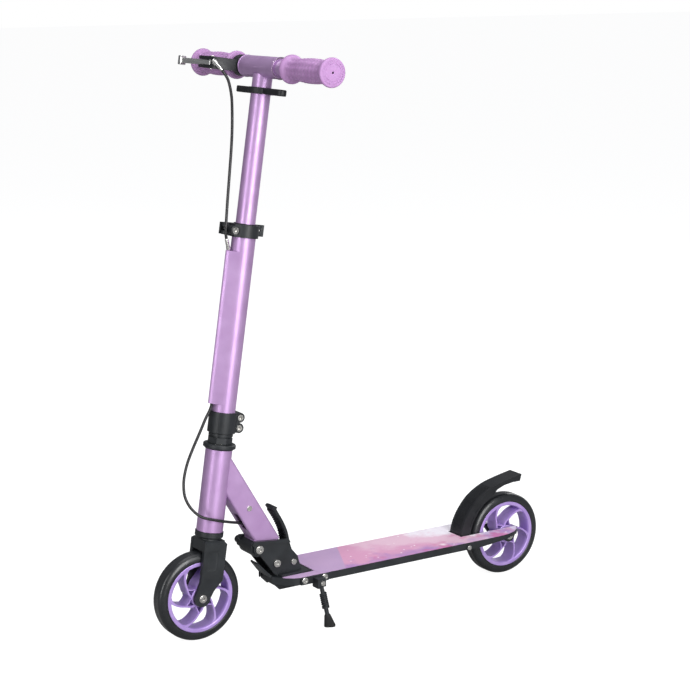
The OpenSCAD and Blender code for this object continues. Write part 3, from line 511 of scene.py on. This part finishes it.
def hub_mesh(half):
    """A cast hub about Y: rounded rim lips, a stepped barrel and swirled blades that thicken at both ends."""
    seat, waist = RIM_OUT + 0.05, RIM_IN - 1.5
    rim = rounded([(RIM_IN, half), (RIM_OUT, half), (seat, 2), (seat, -2), (RIM_OUT, -half), (RIM_IN, -half),
                   (waist, 4 - half), (waist, half - 4)], [1.4, 1.0, 0, 0, 1.0, 1.4, 2.5, 2.5], 4)
    mesh = lathe([tuple(p) for p in rim], LATHE_FINE)
    inner, step = half - 7, 9.2
    barrel = rounded([(BEARING_R, half), (BARREL_R, half), (BARREL_R, -half), (BEARING_R, -half),
                      (BEARING_R, -inner), (step, -inner), (step, inner), (BEARING_R, inner)],
                     [0.5, 1.4, 1.4, 0.5, 0, 0, 0, 0], 3)
    merged(mesh, lathe([tuple(p) for p in barrel], 64))
    for line, thick, depth in ((BLADE, blade_thickness, 1.0), (STRUT, strut_thickness, 1.6)):
        turned = [Vector((r * math.cos(math.radians(a)), r * math.sin(math.radians(a)))) for r, a in line]
        outline = band(smooth_line(turned, 4), thick)
        for k in range(SPOKES):
            turn = Matrix.Rotation(-math.radians(360 / SPOKES * k), 4, "Y")
            merged(mesh, prism(outline, depth - half, half - depth, bevel=SPOKE_BEVEL, place=turn))
    return mesh


def wheel(prefix):
    """Stands a cast tyre and a cast hub in for one wheel's CAD nodes."""
    centre, radius, half = wheel_size(prefix)
    place = Matrix.Translation(centre)
    turned = place @ Matrix.Rotation(-math.radians(HUB_TURN[prefix]), 4, "Y")
    tyre = lathe(tyre_profile(radius, half), LATHE_FINE)
    piece(prefix + "_tyre_cast", tyre, prefix + "_tyre", place=place, sharp=50)
    piece(prefix + "_hub_cast", hub_mesh(half - 0.5), prefix + "_hub", place=turned, sharp=40)


wheel("front")
wheel("rear")


# ---------------------------------------------------------------- tubes and cables

def column_lathe(name, node, profile, segments=96, sharp=30):
    """A turned piece about the steering axis; profile is (radius, distance along it) in millimetres."""
    upright = COLUMN @ Matrix.Rotation(math.pi / 2, 4, "X")
    return piece(name, lathe(profile, segments), node, place=upright, sharp=sharp)


column_lathe("lower_stem_turned", "lower_stem_tube",
             [tuple(p) for p in rounded([(17.2, 268), (18.95, 268), (18.95, 600.5), (17.2, 600.5)], 0.5)])
column_lathe("height_tube_turned", "height_tube",
             [(13.6, 490), (15.3, 490), (15.6, 490.5), (15.6, 836), (13.6, 836)])
column_lathe("head_tube_turned", "head_tube",
             [tuple(p) for p in rounded([(19.6, 107), (21.6, 107), (21.6, 241), (19.6, 241)], 0.6)])

# The brake cable's runs: UPPER and LOWER in the steering frame, HINGE and DECK_RUN in the row frame.
CABLE_R = 0.0023
UPPER = ((45, -58.6, 838.6), (39, -56, 832), (31, -52, 820), (27, -44, 798), (27, -36, 775), (28, -27, 744),
         (30, -19, 713), (32, -12, 675), (33.5, -6, 636), (34.2, -2, 610), (34.2, 0, 594), (33.2, 0, 584),
         (30.2, 0, 574), (26.6, 0, 565), (24.1, 0, 557), (23.2, 0, 550), (23.1, 0, 540))
LOWER = ((23.1, 0, 325), (23.1, 0, 313.6), (23.2, 0, 309), (25.5, 0, 301), (31, 0, 288), (38, 0, 267),
         (47, 0, 241), (54, 0, 217), (58, 2, 195), (58.5, 5, 178), (55.5, 9, 162), (47, 16, 147),
         (31, 23, 135), (6, 26.5, 130), (-20, 23.5, 126), (-37, 16, 123), (-47, 10, 121))
HINGE = ((231, 9.7, 183), (223, 6, 180), (214, 2, 173), (202, -4, 163), (189, -8, 150), (181, -8, 137),
         (177, -8, 122), (173, -8, 107), (168, -8, 95), (159, -8, 84), (148, -8, 77.8), (140, -8, 77))
DECK_RUN = ((140, -8, 77), (120, -8, 77), (60, -8, 77), (0, -8, 77), (-60, -6, 77), (-110, -3, 77),
            (-145, 0, 76), (-170, 0, 71), (-191, 0, 69.5))


def cable(name, node, route, across=None):
    """One run of the brake cable. across names the two bodies that it runs between, from start to end."""
    made = piece(name, tube(smooth_line(route, 5), CABLE_R, 14), node, sharp=60)
    if across:
        # A run between two bodies rides on neither of them.
        made.parent = None
        del made["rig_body"]
        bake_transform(made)


cable("upper_cable_run", "upper_cable", [on_column(*p) for p in UPPER], ("handlebar", "steerer"))
cable("lower_cable_run", "lower_cable", [on_column(*p) for p in LOWER], ("steerer", "neck"))
cable("hinge_cable_run", "hinge_cable", [Vector(p) * MM for p in HINGE], ("neck", "deck"))
cable("deck_cable_run", "deck_cable", [Vector(p) * MM for p in DECK_RUN])


def ferrule(name, node, base, tip, radius, length):
    """A small stepped metal end cap on the cable, which points from base towards tip."""
    way = (tip - base).normalized()
    steps = ((0, 0.8), (0.08, 1), (0.3, 1), (0.34, 0.86), (0.9, 0.86), (1, 0.7))
    points = [base + way * length * along for along, _ in steps]
    mesh = tube(points, radius, 20, lambda i: radius * steps[i][1])
    made = piece(name, mesh, node, replaces=False, sharp=30)
    recoat(made, "steel")


ferrule("upper_ferrule", "cable_adjuster", on_column(45.8, -59, 839.6), on_column(39, -56, 832),
        radius=0.0031, length=0.007)
ferrule("guard_ferrule", "cable_guard", on_column(24.4, 0, 558), on_column(30.6, 0, 575),
        radius=0.0034, length=0.019)


# ---------------------------------------------------------------- grips

# A grip runs from GRIP_IN to GRIP_OUT along the bar; GRIP_LINE is (radius, distance from its inner end).
GRIP_IN, GRIP_OUT = 82.0, 203.0
BAR_R, FLANGE_R = 12.7, 22.4
GRIP_LINE = ((19.4, 0), (21.8, 1.4), (FLANGE_R, 4.5), (21.2, 8), (18.6, 12), (17.3, 20), (17.5, 32),
             (18.7, 46), (19.2, 62), (18.8, 80), (17.7, 94), (17.5, 101), (18.8, 108), (21.2, 113),
             (FLANGE_R, 117), (21.8, 120), (20.2, 121))
CAP_GROOVE = 0.5
DIAMONDS_ROUND, DIAMOND_PITCH, DIAMOND_DEPTH = 11, 9, 0.75
DIAMOND_FLAT, DIAMOND_FADE = 0.8, 3
TICKS = 28


def grip_profile():
    """The whole section of a grip, (radius, y) in millimetres, from its inner flange to its end cap."""
    line = smooth_line([Vector(k) for k in GRIP_LINE], 9)
    body = [(min(p.x, FLANGE_R), GRIP_IN + p.y) for p in line]
    sunk = GRIP_OUT - CAP_GROOVE
    cap = [(14.6, GRIP_OUT), (14.2, sunk), (12.8, sunk), (12.4, GRIP_OUT), (2.4, GRIP_OUT), (1.8, sunk),
           (1.8, GRIP_OUT - 4), (BAR_R, GRIP_OUT - 4)]
    return [(BAR_R, GRIP_IN)] + body + cap


def grip_pattern(r, angle, y):
    """How far the surface is sunk between staggered diamonds, which lie between the flanges."""
    into, out = y - (GRIP_IN + 13), (GRIP_OUT - 12) - y
    if r < 16 or into < 0 or out < 0:
        return 0.0
    fade = min(1, into / DIAMOND_FADE, out / DIAMOND_FADE)
    diamond = math.cos(DIAMONDS_ROUND * angle) + math.cos(2 * math.pi * (y - GRIP_IN) / DIAMOND_PITCH)
    return DIAMOND_DEPTH * fade * (max(-DIAMOND_FLAT, min(DIAMOND_FLAT, diamond)) - DIAMOND_FLAT)


def grip(side, name, node):
    """A moulded grip with a ring of plain ticks on its end cap; side is 1 for left and -1 for right."""
    mesh = lathe([(r, y * side) for r, y in grip_profile()], 176,
                 lambda r, angle, y: grip_pattern(r, angle, y * side))
    tick = [(16.1, -0.45), (18.4, -0.45), (18.4, 0.45), (16.1, 0.45)]
    low, high = sorted(((GRIP_OUT - 0.4) * side, GRIP_OUT * side))
    for k in range(TICKS):
        merged(mesh, prism(tick, low, high, place=Matrix.Rotation(2 * math.pi * k / TICKS, 4, "Y")))
    piece(name, mesh, node, place=COLUMN @ Matrix.Translation((0, 0, BAR_S)), sharp=40)


grip(1, "left_grip_moulded", "left_grip")
grip(-1, "right_grip_moulded", "right_grip")


# ---------------------------------------------------------------- springs

def coil(name, node, base, tip, radius, wire, turns, closed=False, steps=20):
    """A wound spring from base to tip; its turns lie closer together at both ends if it is closed."""
    way = tip - base
    side = way.orthogonal().normalized()
    up = way.normalized().cross(side)
    count = int(turns * steps)
    points = []
    for k in range(count + 1):
        t = k / count
        eased = 0.5 - 0.5 * math.cos(math.pi * t) if closed else t
        rise = 0.85 * t + 0.15 * eased
        a = 2 * math.pi * turns * t
        points.append(base + way * rise + radius * (math.cos(a) * side + math.sin(a) * up))
    piece(name, tube(points, wire, 10), node, sharp=70)


stand_top, stand_foot = Vector((110, 62.5, 75)) * MM, Vector((100, 72, 5)) * MM
coil("kickstand_spring_coil", "kickstand_spring", stand_top.lerp(stand_foot, 0.265),
     stand_top.lerp(stand_foot, 0.555), radius=0.0051, wire=0.0013, turns=6.5, closed=True)
coil("fender_spring_coil", "fender_spring", Vector((-197.6, -6.2, 76.5)) * MM,
     Vector((-197.6, 6.2, 76.5)) * MM, radius=0.0035, wire=0.0008, turns=6)


# ---------------------------------------------------------------- rounded CAD pieces

# The CAD nodes that only need their sharp edges rounded, with the width in millimetres.
for node, width in (
        ("deck_plate", 0.7), ("hinge_bracket", 0.9), ("hinge_bolts", 0.35), ("fold_pivot_bolt", 0.4),
        ("fold_knob", 1.4), ("kickstand_bracket", 0.6), ("kickstand_bolts", 0.35), ("kickstand_pin", 0.3),
        ("rear_axle", 0.4), ("front_axle", 0.4), ("fork", 1.6), ("headset_cups", 0.5), ("headset_locknut", 0.6),
        ("stem_clamp", 0.9), ("stem_clamp_bolts", 0.35), ("cable_guard", 0.6), ("qr_collar", 0.8),
        ("qr_bolt", 0.3), ("qr_lever", 0.9), ("handlebar_tee", 0.4), ("handlebar_bars", 0.3),
        ("grip_clip", 2.4), ("brake_clamp", 1.3), ("brake_lever", 0.8), ("brake_lever_pin", 0.3),
        ("cable_adjuster", 0.3), ("release_lever", 0.9), ("down_tube", 0.3), ("down_tube_button", 0.5),
        ("fender", 0.3), ("fender_pin", 0.3), ("kickstand_leg", 0.5), ("front_bearings", 0.2),
        ("rear_bearings", 0.2)):
    softened(node, width)


def fold_sleeve():
    """The black sleeve that covers the neck's knuckle between the bracket's cheeks."""
    fold = Vector(next(j for j in frame["joints"] if j["name"] == "fold")["pos_m"])
    bore, outside, half = 5.6, 13.5, 19.85
    ring = rounded([(bore, half), (outside, half), (outside, -half), (bore, -half)], 0.3)
    made = piece("fold_sleeve", lathe([tuple(p) for p in ring], 64), "down_tube", replaces=False,
                 place=Matrix.Translation(fold))
    recoat(made, "black_metal")


# The pocket in a fork leg: its span ahead of the axis and along it. Each ring of its lining is how much wider
# than the pocket it is, its corner radius and how far out it lies: the face, the floor and the buried back.
POCKET_AHEAD, POCKET_ALONG = (-8, 12), (46, 78)
POCKET_RINGS = ((1.8, 5, 24.02), (-2.4, 3, 22.5), (1.8, 5, 22))


def fork_pockets():
    """The soft slopes round the shallow pocket in each fork leg."""
    mesh = bmesh.new()
    for side in (1, -1):
        rings = []
        for grow, radius, y in POCKET_RINGS:
            n_lo, n_hi = POCKET_AHEAD[0] - grow, POCKET_AHEAD[1] + grow
            s_lo, s_hi = POCKET_ALONG[0] - grow, POCKET_ALONG[1] + grow
            outline = rounded([(n_lo, s_lo), (n_hi, s_lo), (n_hi, s_hi), (n_lo, s_hi)], radius, 5)
            rings.append([mesh.verts.new((p[0] * MM, side * y * MM, p[1] * MM)) for p in outline])
        face, floor, back = rings
        count = len(face)
        for a, b in ((face, floor), (face, back)):
            for i in range(count):
                j = (i + 1) % count
                mesh.faces.new((a[i], b[i], b[j], a[j]))
        mesh.faces.new(floor)
        mesh.faces.new(back)
    piece("fork_pockets", mesh, "fork", replaces=False, place=COLUMN, sharp=60)


def tee_rims():
    """The bright machined rim at each end of the handlebar's tee."""
    bore, outside, back, front = 15.0, 17.2, 52.6, 53.02
    for side, word in ((1, "left"), (-1, "right")):
        ring = rounded([(bore, front), (outside, front), (outside, back), (bore, back)], 0.1)
        mesh = lathe([(r, y * side) for r, y in ring], 64)
        made = piece(word + "_tee_rim", mesh, "handlebar_tee", replaces=False,
                     place=COLUMN @ Matrix.Translation((0, 0, BAR_S)))
        recoat(made, "steel")


def lever_tip():
    """The squared cross piece at the end of the brake lever."""
    back, front, low, high = 48.5, 59, 837.5, 852
    tip = rounded([(back, low), (front, low), (front, high), (back, high)], 1.2)
    mesh = prism(tip, -176, -167.5, bevel=1.0)
    piece("brake_lever_tip", mesh, "brake_lever", replaces=False, place=COLUMN)


def lever_ribs():
    """Cast ribs across the face of the release lever, which the foot presses."""
    spine = smooth_line([Vector(p) for p in ((141, 139), (145, 156), (152, 172), (160, 186), (164, 193))], 4)
    face, sunk, proud, half_foot, half_top, half_width = 2.7, 0.5, 1.4, 1.1, 0.5, 11.2
    mesh = bmesh.new()
    for i in range(1, len(spine) - 1):
        way = (spine[i + 1] - spine[i - 1]).normalized()
        out = Vector((way.y, -way.x))
        mid = spine[i] + out * face
        outline = [mid - way * half_foot - out * sunk, mid - way * half_top + out * proud,
                   mid + way * half_top + out * proud, mid + way * half_foot - out * sunk]
        prism(outline, -half_width, half_width, mesh=mesh)
    piece("release_lever_ribs", mesh, "release_lever", replaces=False, sharp=60)


fold_sleeve()
fork_pockets()
tee_rims()
lever_tip()
lever_ribs()


# ---------------------------------------------------------------- floor, light and camera

def stage_floor():
    """A plain pale floor that the camera sees brighter than the object does, so that it isn't overlit."""
    bpy.ops.mesh.primitive_plane_add(size=60)
    floor = bpy.context.object
    floor.name = "floor"
    m = Nodes("floor_white", Roughness=0.9, Specular_IOR_Level=0.0, Emission_Strength=0.0)
    seen = m.add("ShaderNodeLightPath").outputs["Is Camera Ray"]
    m.shader.inputs["Emission Color"].default_value = (1, 1, 1, 1)
    m.set(Base_Color=m.ramp(seen, (0.0, 0.34), (1.0, 0.30)), Emission_Strength=m.math("MULTIPLY", seen, 0.9))
    floor.data.materials.append(m.material)


def area_light(name, place, aim, size, power):
    """A soft rectangular light at place that points to aim."""
    data = bpy.data.lights.new(name, "AREA")
    data.shape, data.size, data.size_y = "RECTANGLE", size[0], size[1]
    data.energy = power
    light = bpy.data.objects.new(name, data)
    light.location = place
    light.rotation_euler = (Vector(aim) - Vector(place)).to_track_quat("-Z", "Y").to_euler()
    bpy.context.scene.collection.objects.link(light)


def camera():
    """The camera stands ahead of the scooter on its left, a little above the handlebar."""
    yaw, pitch, roll = (math.radians(a) for a in (237.617, -11.608, -0.357))
    ahead = Vector((math.cos(pitch) * math.cos(yaw), math.cos(pitch) * math.sin(yaw), math.sin(pitch)))
    right = ahead.cross(Vector((0, 0, 1))).normalized()
    up = right.cross(ahead)
    right, up = right * math.cos(roll) + up * math.sin(roll), up * math.cos(roll) - right * math.sin(roll)
    data = bpy.data.cameras.new("camera")
    data.angle = math.radians(21.26)
    cam = bpy.data.objects.new("camera", data)
    cam.matrix_world = (Matrix.Translation((1.6088, 2.5050, 1.0591))
                        @ Matrix((right, up, -ahead)).transposed().to_4x4())
    bpy.context.scene.collection.objects.link(cam)
    bpy.context.scene.camera = cam


def world():
    """A soft studio for the object, and plain white for the camera."""
    bpy.context.scene.world = bpy.data.worlds.new("studio")
    tree = bpy.context.scene.world
    tree.use_nodes = True
    nodes, links = tree.node_tree.nodes, tree.node_tree.links
    room = nodes["Background"]
    room.inputs["Color"].default_value = (0.93, 0.95, 1.0, 1)
    room.inputs["Strength"].default_value = 0.26
    backdrop = nodes.new("ShaderNodeBackground")
    backdrop.inputs["Color"].default_value = (1, 1, 1, 1)
    mix = nodes.new("ShaderNodeMixShader")
    links.new(nodes.new("ShaderNodeLightPath").outputs["Is Camera Ray"], mix.inputs["Fac"])
    links.new(room.outputs["Background"], mix.inputs[1])
    links.new(backdrop.outputs["Background"], mix.inputs[2])
    links.new(mix.outputs["Shader"], nodes["World Output"].inputs["Surface"])


stage_floor()
world()
area_light("key", (0.1, 3.4, 1.5), (0, 0, 0.45), (1.7, 2.6), 130)
area_light("front", (3.4, 1.0, 1.3), (0.1, 0, 0.5), (0.7, 2.6), 42)
area_light("overhead", (-0.2, 0.2, 3.4), (0, 0, 0.3), (2.6, 2.6), 52)
area_light("rear", (-3.2, -1.6, 1.8), (0, 0, 0.4), (1.2, 2.2), 34)
camera()
bpy.context.scene.view_settings.view_transform = "Standard"
